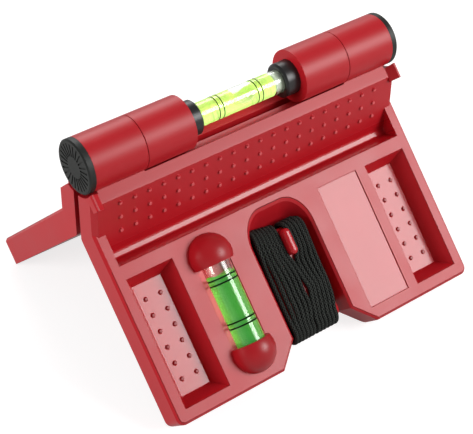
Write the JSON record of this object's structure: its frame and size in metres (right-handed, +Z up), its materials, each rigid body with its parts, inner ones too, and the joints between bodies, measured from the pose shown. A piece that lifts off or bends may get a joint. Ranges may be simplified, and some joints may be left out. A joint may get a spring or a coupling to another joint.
{
  "type": "folding post level",
  "caption": "Folding post level: two hinged moulded leaves with slope vials, a vial in the hinge barrel and an elastic cord wound on a winder.",
  "frame": {"origin": "middle of the footprint of the two leaves' free edges, on the table", "axes": "+X along the hinge toward the right end cap, -Y toward the leaf that carries the cord, +Z up through the hinge"},
  "size_m": [0.188, 0.1672, 0.1269],
  "materials": {
    "red_plastic": "satin moulded",
    "black_plastic": "matte moulded",
    "clear_vial": "clear",
    "yellow_liquid": "clear dyed",
    "green_liquid": "clear dyed",
    "clear_plug": "clear",
    "braided_cord": "braided"
  },
  "bodies": {
    "front": {"front_leaf": "red_plastic", "hinge_pin_left": "black_plastic", "hinge_pin_right": "black_plastic", "end_cap_left": "black_plastic", "end_cap_right": "black_plastic", "hinge_vial_tube": "clear_vial", "hinge_vial_liquid": "yellow_liquid", "hinge_vial_plug": "clear_plug", "front_vial_tube": "clear_vial", "front_vial_liquid": "green_liquid", "front_vial_plug": "clear_plug", "front_vial_cap_upper": "red_plastic", "front_vial_cap_lower": "red_plastic", "cord_winder": "red_plastic", "elastic_cord": "braided_cord"},
    "rear": {"rear_leaf": "red_plastic", "rear_vial_tube": "clear_vial", "rear_vial_liquid": "green_liquid", "rear_vial_plug": "clear_plug", "rear_vial_cap_upper": "red_plastic", "rear_vial_cap_lower": "red_plastic"}
  },
  "joints": [
    {"name": "leaf_hinge", "type": "hinge", "parent": "front", "child": "rear", "pos_m": [0, 0, 0.11295], "axis": [1, 0, 0], "range_deg": [0, 270]}
  ]
}
